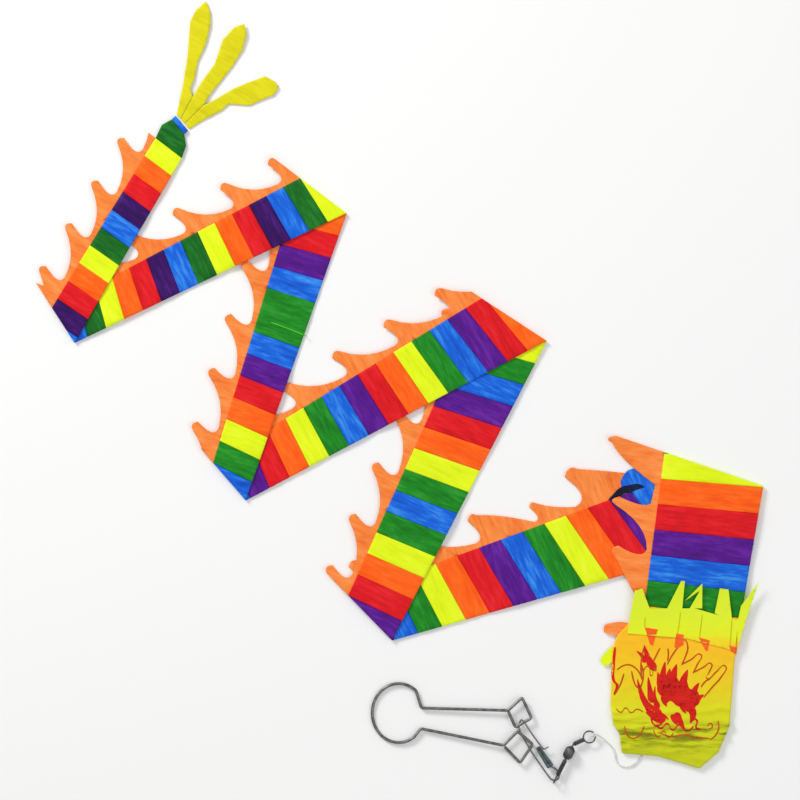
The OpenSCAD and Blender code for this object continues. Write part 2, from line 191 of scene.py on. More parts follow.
def make_camera():
    bpy.ops.object.camera_add(location=(0, VIEW_MIDDLE_Y, CAMERA_HEIGHT), rotation=(0, 0, 0))
    camera = bpy.context.object
    camera.name = "overhead_camera"
    camera.data.sensor_width = SENSOR_WIDTH
    camera.data.lens = SENSOR_WIDTH * CAMERA_HEIGHT / VIEW_WIDTH
    camera.data.clip_end = 20
    bpy.context.scene.camera = camera


def make_light(name, place, size, watts, colour):
    """A round soft light that faces the middle of the floor."""
    bpy.ops.object.light_add(type="AREA", location=place)
    light = bpy.context.object
    light.name = name
    light.data.shape = "DISK"
    light.data.size = size
    light.data.energy = watts
    light.data.color = colour
    light.rotation_euler = (-Vector(place)).to_track_quat("-Z", "Y").to_euler()


def make_floor():
    bpy.ops.mesh.primitive_plane_add(size=12, location=(0, 0, -FLOOR_GAP))
    floor = bpy.context.object
    floor.name = "studio_floor"
    material = bpy.data.materials.new("pale_floor")
    material.use_nodes = True
    shader = material.node_tree.nodes["Principled BSDF"]
    shader.inputs["Base Color"].default_value = (0.93, 0.93, 0.93, 1)
    shader.inputs["Roughness"].default_value = 0.85
    floor.data.materials.append(material)
    return floor


def make_studio():
    make_camera()
    make_light("key_light", (-1.5, 1.7, 1.5), 0.9, 47, (1, 0.99, 0.97))
    make_light("fill_light", (1.4, -0.6, 1.7), 1.6, 8, (0.96, 0.98, 1))
    make_light("top_light", (0, 0, 2.6), 2.2, 8, (1, 1, 1))
    floor = make_floor()
    world = bpy.data.worlds.new("studio_world")
    bpy.context.scene.world = world
    world.use_nodes = True
    background = world.node_tree.nodes["Background"]
    background.inputs["Color"].default_value = (1, 1, 1, 1)
    background.inputs["Strength"].default_value = 0.48
    # The plain transform keeps the dyes as strong as they are
    bpy.context.scene.view_settings.view_transform = "Standard"
    return floor


# ---------- Materials ----------

class Graph:
    """Short names for adding and joining a material's nodes."""

    def __init__(self, name):
        self.material = bpy.data.materials.new(name)
        self.material.use_nodes = True
        self.tree = self.material.node_tree
        self.shader = self.tree.nodes["Principled BSDF"]

    def add(self, kind, links=(), **settings):
        node = self.tree.nodes.new("ShaderNode" + kind)
        for key, value in settings.items():
            setattr(node, key, value)
        for socket, value in dict(links).items():
            if isinstance(value, bpy.types.NodeSocket):
                self.tree.links.new(value, node.inputs[socket])
            else:
                node.inputs[socket].default_value = value
        return node

    def plug(self, output, socket):
        self.tree.links.new(output, self.shader.inputs[socket])

    def value(self, socket, number):
        self.shader.inputs[socket].default_value = number

    def ramp(self, factor, stops):
        node = self.add("ValToRGB", {"Fac": factor})
        ramp = node.color_ramp
        while len(ramp.elements) < len(stops):
            ramp.elements.new(0.5)
        for element, (place, colour) in zip(ramp.elements, stops):
            element.position = place
            element.color = (*colour, 1)
        return node.outputs["Color"]

    def noise(self, vector, scale, detail=3, rough=0.55):
        settings = {"Vector": vector, "Scale": scale, "Detail": detail, "Roughness": rough}
        return self.add("TexNoise", settings).outputs["Fac"]

    def stretched(self, vector, scale, turn=0):
        settings = {"Vector": vector, "Scale": scale, "Rotation": (0, 0, turn)}
        return self.add("Mapping", settings).outputs["Vector"]

    def bump(self, height, strength, distance, normal=None):
        links = {"Height": height, "Strength": strength, "Distance": distance}
        if normal is not None:
            links["Normal"] = normal
        return self.add("Bump", links).outputs["Normal"]

    def woven(self, uv, creases):
        """A fine plain weave over the bump of the creases."""
        threads = [
            self.add("TexWave", {"Vector": uv, "Scale": 620.0}, bands_direction=direction).outputs["Fac"]
            for direction in ("X", "Y")
        ]
        crossed = self.add("Math", {0: threads[0], 1: threads[1]}, operation="MAXIMUM").outputs[0]
        return self.bump(crossed, 0.25, 0.05 * MM, creases)


def linear(colour):
    """Screen colour from 0 to 255 to the linear values that shaders use."""
    return tuple((c / 255 / 12.92) if c < 11 else ((c / 255 + 0.055) / 1.055) ** 2.4 for c in colour)


def cloth_material(name, dark, base, light, sheen_streaks=1.0, gloss=0.5):
    """Thin crinkled satin: painted sheen and shade as streaks along the piece's U, a fine plain weave
    and a soft sheen.
    """
    g = Graph(name)
    uv = g.add("UVMap", uv_map="lay").outputs["UV"]
    broad = g.noise(g.stretched(uv, (26, 110, 1)), 1.0, 4, 0.55)
    fine = g.noise(g.stretched(uv, (70, 380, 1)), 1.0, 3, 0.6)
    both = g.add("Math", {0: broad, 1: fine}, operation="ADD").outputs[0]
    half = g.add("Math", {0: both, 1: 0.5}, operation="MULTIPLY").outputs[0]
    # Painted sheen and shade: the ramp turns the streak noise into darker and lighter bands of the dye
    sheen_spread = 0.2 / sheen_streaks
    stops = [(0.5 - sheen_spread, linear(dark)), (0.5, linear(base)), (0.5 + sheen_spread, linear(light))]
    g.plug(g.ramp(half, stops), "Base Color")
    g.plug(g.woven(uv, g.bump(broad, 0.5, 0.5 * MM)), "Normal")
    g.value("Roughness", gloss)
    g.value("Specular IOR Level", 0.16)
    g.value("Sheen Weight", 0.03)
    g.value("Sheen Roughness", 0.4)
    return g.material


# Each cloth's first and last colours are its painted shade and painted sheen around the dye
CLOTH = {
    "yellow": cloth_material("lime_yellow_satin", (205, 222, 12), (226, 246, 16), (240, 254, 60), 0.7),
    "orange": cloth_material("orange_satin", (238, 66, 4), (255, 98, 10), (255, 128, 40), 0.8),
    "red": cloth_material("red_satin", (170, 8, 14), (222, 14, 26), (240, 46, 54), 0.8),
    "purple": cloth_material("purple_satin", (52, 6, 92), (86, 14, 140), (122, 48, 172), 0.8),
    "blue": cloth_material("blue_satin", (8, 66, 176), (14, 100, 220), (70, 160, 240), 1.0),
    "green": cloth_material("green_satin", (10, 92, 16), (20, 132, 26), (56, 166, 54), 0.9),
}
DEEP_CLOTH = {
    "purple": cloth_material("deep_purple_satin", (24, 0, 48), (52, 2, 92), (86, 26, 134), 0.8),
    "green": cloth_material("deep_green_satin", (6, 62, 12), (14, 104, 26), (44, 140, 50), 0.9),
}
FIN_CLOTH = cloth_material(
    "flame_orange_cloth", (228, 98, 34), (250, 136, 60), (255, 164, 96), 0.9, 0.65)
STREAMER_CLOTH = cloth_material(
    "tail_yellow_cloth", (182, 172, 6), (220, 212, 14), (238, 234, 50), 0.5, 0.55)
PRINT_RED = cloth_material("printed_red", (176, 16, 12), (214, 28, 18), (228, 52, 30), 0.5, 0.6)
PRINT_ORANGE = cloth_material("printed_orange", (236, 70, 20), (250, 98, 34), (252, 130, 60), 0.5, 0.6)
PRINT_BROWN = cloth_material("printed_brown", (160, 52, 8), (196, 76, 14), (214, 110, 30), 0.5, 0.6)
SEAM_OLIVE = cloth_material("olive_seam", (160, 160, 10), (190, 196, 16), (206, 212, 30), 0.5, 0.6)
SEAM_GREEN = cloth_material("bright_green_seam", (50, 170, 30), (86, 204, 44), (120, 220, 70), 0.5, 0.6)
# Painted shadow: dark navy for the shade on the blue cloth inside the first fold
FOLD_SHADOW_NAVY = cloth_material("shaded_navy_fold", (2, 8, 22), (4, 18, 48), (10, 44, 96), 0.8)


# Sockets of a Mix node that mixes colours
MIX_FIRST, MIX_SECOND, MIX_RESULT = 6, 7, 2

HEAD_MIDDLE = middle_of("head_cover")
HEAD_MOUTH = HEAD_MIDDLE.y - 0.03
# Painted shade colour for the crumples across the mouth
CRUMPLE_SHADE_OLIVE = (92, 86, 8)


def head_cloth_material(name, bottom, top, stops, crumple_shade):
    """Thin yellow cloth dyed in bands from bottom to top, with painted shade in its crumples at the
    mouth.
    """
    g = Graph(name)
    place = g.add("TexCoord").outputs["Object"]
    apart = g.add("SeparateXYZ", {"Vector": place})
    mottle = g.noise(g.stretched(place, (60, 110, 1)), 1.0, 3, 0.55)
    drift = g.add("Math", {0: mottle, 1: 0.016}, operation="MULTIPLY").outputs[0]
    high = g.add("Math", {0: apart.outputs["Y"], 1: drift}, operation="ADD").outputs[0]
    rise = g.add("MapRange", {"Value": high, "From Min": bottom, "From Max": top})
    dyed = g.ramp(rise.outputs["Result"], [(at, linear(colour)) for at, colour in stops])
    # Painted shade: dark olive mixed in where the fold noise is deep, in a band across the mouth
    folds = g.noise(g.stretched(place, (34, 190, 1)), 1.0, 3, 0.6)
    fold_shade = g.add("MapRange", {"Value": folds, "From Min": 0.44, "From Max": 0.6})
    low_edge = {"From Min": HEAD_MOUTH - 0.018, "From Max": HEAD_MOUTH}
    above = g.add("MapRange", {"Value": high, **low_edge}).outputs["Result"]
    high_edge = {"From Min": HEAD_MOUTH + 0.012, "From Max": HEAD_MOUTH + 0.003}
    below = g.add("MapRange", {"Value": high, **high_edge}).outputs["Result"]
    inside = g.add("Math", {0: above, 1: below}, operation="MULTIPLY")
    shade_share = g.add("Math", {0: inside.outputs[0], 1: fold_shade.outputs["Result"]}, operation="MULTIPLY")
    shade_share = g.add("Math", {0: shade_share.outputs[0], 1: crumple_shade}, operation="MULTIPLY")
    mix = g.add("Mix", data_type="RGBA")
    g.tree.links.new(shade_share.outputs[0], mix.inputs["Factor"])
    g.tree.links.new(dyed, mix.inputs[MIX_FIRST])
    mix.inputs[MIX_SECOND].default_value = (*linear(CRUMPLE_SHADE_OLIVE), 1)
    g.plug(mix.outputs[MIX_RESULT], "Base Color")
    uv = g.add("UVMap", uv_map="lay").outputs["UV"]
    g.plug(g.woven(uv, g.bump(folds, 0.5, 0.6 * MM)), "Normal")
    g.value("Roughness", 0.5)
    g.value("Specular IOR Level", 0.16)
    return g.material


HEAD_CLOTH = head_cloth_material(
    "head_yellow_cloth", HEAD_MIDDLE.y - 0.066, HEAD_MIDDLE.y + 0.045,
    [(0.0, (196, 200, 10)), (0.3, (204, 212, 22)), (0.52, (222, 218, 24)), (0.72, (240, 206, 28)),
     (1.0, (252, 190, 30))], 0.85)
MANE_CLOTH = head_cloth_material(
    "lime_mane_cloth", HEAD_MIDDLE.y + 0.024, HEAD_MIDDLE.y + 0.064,
    [(0.0, (250, 190, 32)), (0.42, (246, 210, 34)), (0.66, (230, 240, 34)), (1.0, (222, 240, 44))], 0.0)


def steel_material(name, shade, roughness):
    """Drawn spring wire: bright grey with fine draw lines and a few dull patches."""
    g = Graph(name)
    place = g.add("TexCoord").outputs["Object"]
    patches = g.noise(place, 260.0, 3, 0.6)
    scratches = g.noise(g.stretched(place, (900, 900, 90)), 1.0, 2, 0.7)
    dark = tuple(c * 0.45 for c in shade)
    g.plug(g.ramp(patches, [(0.32, dark), (0.62, shade)]), "Base Color")
    worn = g.add("MapRange", {"Value": patches, "To Min": roughness, "To Max": roughness + 0.2})
    g.plug(worn.outputs["Result"], "Roughness")
    g.plug(g.bump(scratches, 0.3, 0.04 * MM), "Normal")
    g.value("Metallic", 1.0)
    return g.material


CLIP_STEEL = steel_material("clip_spring_steel", (0.24, 0.235, 0.23), 0.3)
SNAP_STEEL = steel_material("snap_spring_steel", (0.26, 0.26, 0.25), 0.25)
SWIVEL_STEEL = steel_material("dark_swivel_steel", (0.14, 0.14, 0.145), 0.3)
SLEEVE_STEEL = steel_material("sleeve_sheet_steel", (0.13, 0.17, 0.18), 0.2)


def cord_material(name, shade):
    """Braided polyester line: off-white fibres that lie along the strands."""
    g = Graph(name)
    place = g.add("TexCoord").outputs["Object"]
    fibres = g.noise(g.stretched(place, (2600, 2600, 900)), 1.0, 2, 0.7)
    soil = g.noise(place, 180.0, 2, 0.5)
    tone = g.add("Math", {0: fibres, 1: soil}, operation="ADD").outputs[0]
    grey = tuple(c * 0.62 for c in shade)
    g.plug(g.ramp(tone, [(0.7, grey), (1.0, shade)]), "Base Color")
    g.plug(g.bump(fibres, 0.4, 0.05 * MM), "Normal")
    g.value("Roughness", 0.8)
    return g.material


CORD_WHITE = cord_material("braided_white_line", (0.78, 0.77, 0.74))


# ---------- Cloth shaping ----------

LAY_STEP = (0.31, 0.17)


def give_lay(piece, k):
    """UV in metres: U along the seams of section k, V along it, each section a step further on."""
    u, v = SIDE[k], RUN[k]
    layer = piece.data.uv_layers.get("lay") or piece.data.uv_layers.new(name="lay")
    for loop in piece.data.loops:
        place = piece.data.vertices[loop.vertex_index].co
        layer.data[loop.index].uv = (place.dot(u) + LAY_STEP[0] * k, place.dot(v) + LAY_STEP[1] * k)
    for other in [x for x in piece.data.uv_layers if x.name != "lay"]:
        piece.data.uv_layers.remove(other)


def sharp_edges_bevelled(piece, width, segments=2):
    """Rounds the rim of a flat piece, where two faces meet at more than 60 degrees."""
    edit(piece)
    bpy.ops.mesh.select_all(action="DESELECT")
    bpy.ops.mesh.select_mode(type="EDGE")
    bpy.ops.mesh.edges_select_sharp(sharpness=math.radians(60))
    bpy.ops.mesh.bevel(offset=width, segments=segments, affect="EDGES", clamp_overlap=True)
    bpy.ops.mesh.select_mode(type="VERT")
    done()


def sliced(piece, direction, step):
    """Cuts the mesh with planes square to direction, step apart."""
    spots = [v.co.dot(direction) for v in piece.data.vertices]
    first = math.floor(min(spots) / step) + 1
    last = math.ceil(max(spots) / step)
    edit(piece)
    for i in range(first, last):
        bpy.ops.mesh.select_all(action="SELECT")
        bpy.ops.mesh.bisect(plane_co=direction * (i * step), plane_no=direction)
    done()


def tree_of(*objects):
    """One search tree over the meshes of several objects."""
    vertices, faces = [], []
    for obj in objects:
        start = len(vertices)
        vertices += [obj.matrix_world @ v.co for v in obj.data.vertices]
        faces += [[start + i for i in face.vertices] for face in obj.data.polygons]
    return BVHTree.FromPolygons(vertices, faces)


def cad_nodes_of_section(k):
    names = ["section_%d_%s" % (k, colour) for colour in COLOURS] + ["flame_fin_%d" % k]
    if k == 1:
        names += ["head_cover", "mane_collar"]
    return [frame["nodes"][name] for name in names]


# What lies over each section; nothing lies over the first and the last
LAID_OVER = {k: tree_of(*cad_nodes_of_section(k + 1)) for k in range(3, 7)}
LAID_OVER[2] = tree_of(*cad_nodes_of_section(1), *cad_nodes_of_section(3))
# Spots about a place that are felt for cloth above, in millimetres
FEELERS = [(0, 0), (6, 0), (3, 5), (-3, 5), (-6, 0), (-3, -5), (3, -5)]


def openness(place, k):
    """1 where section k lies open to the air, 0 where another section lies over it."""
    if k not in LAID_OVER:
        return 1.0
    start = place.z + 0.1 * MM
    hits = 0
    for dx, dy in FEELERS:
        spot = Vector((place.x + dx * MM, place.y + dy * MM, start))
        hits += LAID_OVER[k].ray_cast(spot, Vector((0, 0, 1)))[0] is not None
    return 1 - hits / len(FEELERS)


SWELL_RISE, RIPPLE_RISE = 1.1 * MM, 0.35 * MM


def cloth_lift(place):
    """How far the cloth stands off the floor: long, low swells shared by all layers."""
    swell = noise.noise(Vector((place.x * 16, place.y * 16, 3.7)))
    ripple = noise.noise(Vector((place.x * 45, place.y * 45, 9.1)))
    return max(0.0, SWELL_RISE * (swell + 0.35) + RIPPLE_RISE * (ripple + 0.3))


def crinkle(place, k):
    """Fine wrinkles of one section, drawn out along its seams, from about 0 to 1."""
    u, v = place.dot(SIDE[k]), place.dot(RUN[k])
    wander = 6 * noise.noise(Vector((u * 18, v * 18, k * 1.7)))
    broad = noise.noise(Vector((u * 22, v * 85 + wander, k * 5.3)))
    fine = noise.noise(Vector((u * 50, v * 240 + wander, k * 2.9)))
    return max(0.0, 0.75 * broad + 0.4 * fine + 0.42)


def shaped_cloth(piece, k, height, extra=None):
    """Lifts and wrinkles a cloth piece; only its upper skin takes the fine wrinkles."""
    mesh = piece.data
    ups = [n.vector.z for n in mesh.vertex_normals]
    for vertex, up in zip(mesh.vertices, ups):
        place = vertex.co.copy()
        lift = cloth_lift(place)
        if up > 0.3 or extra is not None:
            air = openness(place, k)
            if up > 0.3:
                lift += up * crinkle(place, k) * height * (0.25 + 0.75 * air)
            if extra is not None:
                lift += extra(place) * air
        vertex.co.z = place.z + lift


# ---------- The seven striped sections ----------

SEAM_WIDTH = 0.42 * MM
SLICE_ALONG, SLICE_ACROSS = 2.8 * MM, 4.4 * MM


def make_section(k):
    """Wrinkles the stripes of section k as one cloth, then parts them by colour."""
    parts = []
    for colour in COLOURS:
        part = copy_of_node("section_%d_%s" % (k, colour), "stripes_%d_%s" % (k, colour))
        sharp_edges_bevelled(part, SEAM_WIDTH)
        part.data.materials.append(CLOTH[colour])
        parts.append(part)
    whole = joined(parts, "section_%d" % k)
    sliced(whole, RUN[k], SLICE_ALONG)
    sliced(whole, SIDE[k], SLICE_ACROSS)
    shaped_cloth(whole, k, 0.75 * MM)
    give_lay(whole, k)
    smooth(whole, 50)
    edit(whole)
    bpy.ops.mesh.select_all(action="SELECT")
    bpy.ops.mesh.separate(type="MATERIAL")
    done()
    for piece in list(bpy.context.selected_objects):
        material = piece.data.materials[0]
        colour = next(c for c in COLOURS if CLOTH[c].name == material.name)
        piece.name = "cloth_%d_%s" % (k, colour)
        shade = DEEP_CLOTH.get(colour, material) if k >= 6 else material
        dress(piece, shade, "cloth_" + colour, body_of_section(k),
              "section_%d_%s" % (k, colour))


# ---------- Flame fins ----------

FIN_REACH = 27 * MM


def make_fin(k):
    """One ply of cloth, its free points lifted and curling a little."""
    fin = copy_of_node("flame_fin_%d" % k, "fin_%d" % k)
    sliced(fin, RUN[k], 2.6 * MM)
    sliced(fin, SIDE[k], 2.6 * MM)
    body_edge = max(v.co.dot(SIDE[k]) for v in fin.data.vertices) - FIN_REACH

    def curl(place):
        out = max(0.0, (place.dot(SIDE[k]) - body_edge) / FIN_REACH)
        wave = noise.noise(Vector((place.x * 38, place.y * 38, k)))
        return (0.6 + 1.5 * out * out) * MM * max(0.0, wave + 0.45) * min(1.0, 2.2 * out)

    shaped_cloth(fin, k, 0.25 * MM, curl)
    give_lay(fin, k)
    smooth(fin, 60)
    dress(fin, FIN_CLOTH, "fin_cloth", body_of_section(k), "flame_fin_%d" % k)


# ---------- Head ----------

def head_spot(x, y, z=0.0):
    """A place x and y millimetres from the middle of the head."""
    return Vector((HEAD_MIDDLE.x + x * MM, HEAD_MIDDLE.y + y * MM, z * MM))


# Slack folds across the mouth: height up the head, slope, rise and breadth, in millimetres
MOUTH_FOLDS = [
    (-19, 0.03, 1.5, 1.7), (-26, -0.05, 2.0, 1.5), (-32, 0.04, 2.4, 1.6), (-38, -0.02, 1.9, 1.4),
    (-45, -0.09, 2.0, 2.2), (-54, -0.12, 1.8, 2.0),
]


def gathers(place):
    """Crumples of the head cloth: slack folds across the mouth and a few soft dents above it."""
    x = (place.x - HEAD_MIDDLE.x) / MM
    y = (place.y - HEAD_MIDDLE.y) / MM
    lift = 0.5 + 0.6 * noise.noise(Vector((x * 0.05, y * 0.06, 1.3)))
    lift -= 1.1 * abs(noise.noise(Vector((x * 0.075 + y * 0.03, y * 0.11, 8.8))))
    for i, (middle, slope, high, wide) in enumerate(MOUTH_FOLDS):
        bend = 3.2 * noise.noise(Vector((x * 0.06, i * 3.1, 0.4)))
        swell = 0.55 + 0.9 * noise.noise(Vector((x * 0.05, i * 1.9, 5.2)))
        lift += high * swell * math.exp(-((y - middle - slope * x - bend) / wide) ** 2)
    return max(-0.6, lift) * MM


def make_head():
    head = copy_of_node("head_cover", "head_cloth")
    sharp_edges_bevelled(head, 1.2 * MM, 4)
    sliced(head, Vector((1, 0, 0)), 2.0 * MM)
    sliced(head, Vector((0, 1, 0)), 1.6 * MM)
    ups = [n.vector.z for n in head.data.vertex_normals]
    for vertex, up in zip(head.data.vertices, ups):
        place = vertex.co.copy()
        vertex.co.z = place.z + cloth_lift(place) + max(0.0, up) * gathers(place)
    give_lay(head, 1)
    smooth(head, 60)
    dress(head, HEAD_CLOTH, "head_cloth", "head_and_neck", "head_cover")
    return head


# Where the mane's points begin above the middle of the head, and their length, in millimetres
MANE_ROOT, MANE_POINT = 56, 28


def make_collar():
    """The mane: a lime collar with upright points, sewn on over the neck and the head."""
    mane = copy_of_node("mane_collar", "mane_points")
    sliced(mane, Vector((1, 0, 0)), 2.0 * MM)
    sliced(mane, Vector((0, 1, 0)), 2.0 * MM)
    ups = [n.vector.z for n in mane.data.vertex_normals]
    for vertex, up in zip(mane.data.vertices, ups):
        place = vertex.co.copy()
        tip = max(0.0, (place.y - HEAD_MIDDLE.y) / MM - MANE_ROOT) / MANE_POINT
        wave = noise.noise(Vector((place.x * 50, place.y * 30, 6.1)))
        vertex.co.z = place.z + cloth_lift(place) + 0.4 * MM + tip * tip * 2.2 * MM + 0.5 * MM * wave
        if up > 0.3:
            vertex.co.z += 0.35 * MM * crinkle(Vector((place.y, place.x, 0)), 1)
    give_lay(mane, 1)
    smooth(mane, 60)
    dress(mane, MANE_CLOTH, "head_cloth", "head_and_neck", "mane_collar")
    return mane


# ---------- Sewn and printed details of the head ----------

def flat_shape(name, corners, rounded=True):
    """A thin closed slab with this outline, in millimetres from the middle of the head."""
    curve = bpy.data.curves.new(name, "CURVE")
    curve.dimensions = "2D"
    curve.fill_mode = "BOTH"
    curve.extrude = 0.12 * MM
    spline = curve.splines.new("BEZIER" if rounded else "POLY")
    points = spline.bezier_points if rounded else spline.points
    points.add(len(corners) - 1)
    for point, (x, y) in zip(points, corners):
        spot = head_spot(x, y)
        if rounded:
            point.co = (spot.x, spot.y, 0)
            point.handle_left_type = point.handle_right_type = "AUTO"
        else:
            point.co = (spot.x, spot.y, 0, 1)
    spline.use_cyclic_u = True
    spline.resolution_u = 5
    shape = bpy.data.objects.new(name, curve)
    bpy.context.scene.collection.objects.link(shape)
    take(shape)
    bpy.ops.object.convert(target="MESH")
    shape = bpy.context.object
    edit(shape)
    bpy.ops.mesh.select_all(action="SELECT")
    bpy.ops.mesh.remove_doubles(threshold=0.01 * MM)
    bpy.ops.mesh.normals_make_consistent(inside=False)
    done()
    return shape


def stroke(name, corners, width, root=0.35, tip=0.35):
    """A flat ribbon that follows rounded corners and narrows to shares of its width."""
    left, right = [], []
    tapers = [root] + [1.0] * (len(corners) - 2) + [tip]
    for i, ((x, y), taper) in enumerate(zip(corners, tapers)):
        before = Vector(corners[max(0, i - 1)])
        after = Vector(corners[min(len(corners) - 1, i + 1)])
        way = (after - before).normalized()
        side = Vector((-way.y, way.x)) * width / 2 * taper
        left.append((x + side.x, y + side.y))
        right.append((x - side.x, y - side.y))
    return flat_shape(name, left + right[::-1])


CLOTH_TOP = 3.2 * MM
ABOVE_ALL = 0.05
PRINT_TOP, PRINT_ROOT = 0.07 * MM, 0.25 * MM


def laid_on(shape, surface, clearance):
    """Presses a flat slab onto the surface below it, or to the cloth's usual height beside it."""
    sliced(shape, Vector((1, 0, 0)), 1.4 * MM)
    sliced(shape, Vector((0, 1, 0)), 1.2 * MM)
    for vertex in shape.data.vertices:
        above = Vector((vertex.co.x, vertex.co.y, ABOVE_ALL))
        hit = surface.ray_cast(above, Vector((0, 0, -1)))[0]
        ground = hit.z if hit is not None else CLOTH_TOP
        vertex.co.z = ground + clearance + (PRINT_TOP if vertex.co.z > 0 else -PRINT_ROOT)
    return shape


# Prints, sewn triangles and seams, in millimetres from the middle of the head
FLAME_HEART = [
    (-12.6, 6), (-10, 11), (-5, 8), (-1, 9), (4, 4), (8, 5), (11, -1), (17, -3), (18.4, -9),
    (15.6, -16), (11, -20), (5, -16.6), (0, -14.4), (-4.4, -11), (-8.4, -13), (-11.8, -5),
]
# Each lick's width, then the corners it runs through
FLAME_LICKS = [
    (5.4, [(-11, -6), (-10.6, 8), (-8.6, 20.4)]), (3.4, [(-12.6, 0), (-13.6, 7), (-14.4, 12)]),
    (6.4, [(-3.4, -6), (-2.4, 8), (0.6, 18.4)]), (3.2, [(-6, 4), (-5.6, 11), (-4.6, 15)]),
    (6.0, [(4.6, -6), (6, 5), (9.4, 14)]), (4.4, [(12, -10), (15, -2), (18.6, 3.6)]),
    (4.0, [(15, -14), (18.4, -8.4), (22.4, -6)]), (5.0, [(12, -16), (13.6, -23), (11.4, -29)]),
    (4.2, [(-9.6, -6), (-9.4, -11), (-7.4, -15.6)]), (3.6, [(4.4, -12), (5.4, -17), (8, -21)]),
    (5.2, [(-12, -23), (-24, -13), (-30.8, 6.6)]), (6.2, [(-9, -25.6), (-17, -23.6), (-25, -15)]),
    (3.6, [(-19, -12), (-21, -1), (-22.2, 8.4)]), (2.6, [(-14, -17), (-17, -8), (-16.6, 1)]),
    (4.4, [(-17, 14), (-22.6, 24), (-25.4, 34)]), (3.0, [(-24.6, 20), (-27, 25), (-31.6, 29)]),
    (5.0, [(0, -21), (3, -27), (7, -34.4)]), (3.0, [(-3, -22), (-2, -26), (2, -31)]),
]
FLAME_LINES = [
    [(-27, 6), (-28, 17), (-25.6, 32)],
    [(-18.4, 20), (-15.4, 26), (-12.6, 31.4)],
    [(-6.8, 21), (-6, 26), (-6.4, 31)],
    [(-7, 18), (-3, 25.4), (1.4, 31.6), (6.4, 37.8), (9.4, 33), (7.4, 24), (4.6, 18)],
    [(4.2, 18), (12, 22), (19.8, 26.2), (17, 18), (13.6, 11)],
    [(14.6, 12), (22, 16), (28, 19), (26.6, 12), (24.6, 7), (32, 12), (39.4, 17), (36, 8),
     (29, 0), (22, -8.4)],
    [(-47.2, 13.8), (-39, 18), (-31, 14), (-26.6, 5)],
    [(-35.4, 13), (-33, 3), (-30.6, -0.6)],
    [(-41.6, 11), (-44, 3), (-49.2, -6.4)],
    [(-26.4, 12), (-22, 17), (-19.4, 9), (-17.6, 15), (-14.6, 8)],
    [(-30, -4), (-26, 8), (-27.4, 18)],
    [(20, 0), (24, 5), (27, 6.4)],
]
EDGE_PRINT = [(-48.6, 32), (-49.8, 18), (-49.6, 5), (-47, 1.6), (-49.4, -6)]
MOUTH_PRINT = [
    [(-24, -20), (-18, -24), (-12, -21), (-6, -26)],
    [(-16, -30), (-12, -33), (-7, -29), (-3, -34), (3, -30), (9, -35), (14, -31)],
    [(-20, -25), (-16, -31), (-10, -27)],
    [(12, -24), (17, -27), (16, -32), (20, -34)],
]
CURLS = [
    [(-41, -31), (-39, -38), (-35, -40.8), (-29, -38.2), (-25.4, -31)],
    [(25, -31), (28, -28.9), (28.8, -32.4), (25.8, -33.4)],
    [(33.6, -26.8), (34.2, -33), (31, -39.2), (27, -42.2)],
    [(-48, -17), (-44, -20), (-40, -16.6), (-36, -20.4), (-31, -17.6), (-26, -20)],
    [(-14, -36), (-4, -39.4), (6, -38), (16, -40), (27, -41)],
    [(-18, -34), (-14, -40), (-10, -35), (-6, -40), (-2, -36.4)],
]
MANE_TRIANGLES = [
    [(-25, 47.8), (-14.6, 46.2), (-18.4, 33.2), (-20.6, 34)],
    [(0.2, 43), (-1.2, 32), (1, 30.8), (6, 34), (6.2, 42)],
    [(18, 40), (27, 37.4), (25.4, 29), (23.6, 29.2)],
    [(42.4, 33.6), (49, 31.6), (48.2, 26), (44, 28.6)],
]
MANE_SEAMS = [
    [(-24.6, 56), (-25, 52), (-24.8, 47.6)],
    [(3.6, 60), (2.4, 50), (1.2, 43)],
    [(21, 58), (19.8, 48), (18.8, 40)],
    [(44.6, 54), (44, 44), (43, 33)],
]


PRINT_LIFT, PRINT_STEP = 0.08, 0.03


def make_head_details(head, mane):
    """The prints of the head and the sewn marks of the mane, each kind a little over the last."""
    surface = tree_of(head, mane)
    flames = [flat_shape("flame", FLAME_HEART)]
    flames += [stroke("flame", corners, width, 0.8, 0.06) for width, corners in FLAME_LICKS]
    lines = [stroke("line", corners, 1.15) for corners in FLAME_LINES]
    curls = [stroke("curl", corners, 1.0) for corners in CURLS]
    triangles = [flat_shape("triangle", corners, rounded=False) for corners in MANE_TRIANGLES]
    seams = [stroke("seam", corners, 0.6) for corners in MANE_SEAMS]
    flames += [stroke("flame", corners, 1.6) for corners in MOUTH_PRINT]
    flames.append(stroke("flame", EDGE_PRINT, 2.2))
    groups = [
        ("flame_print", flames, PRINT_RED), ("flame_outlines", lines, PRINT_BROWN),
        ("curl_print", curls, PRINT_BROWN), ("mane_triangles", triangles, PRINT_ORANGE),
        ("mane_seams", seams, SEAM_OLIVE),
    ]
    for i, (name, pieces, material) in enumerate(groups):
        whole = laid_on(joined(pieces, name), surface, (PRINT_LIFT + PRINT_STEP * i) * MM)
        give_lay(whole, 1)
        smooth(whole, 60)
        dress(whole, material, "head_cloth", "head_and_neck")


# Outlines of the two cloth tabs, in millimetres from the middle of the head
FIN_TAB = [
    (-57.5, 46), (-56.5, 49.5), (-52, 51), (-40, 51.5), (-37, 50), (-37, 37), (-41, 35),
    (-44, 40), (-54, 42.4), (-57, 43.5),
]
SIDE_FLAP = [
    (-45, 36), (-42, 30), (-48, 25), (-54, 17.6), (-58, 17.4), (-60, 20.6), (-57.4, 26), (-50, 33),
]


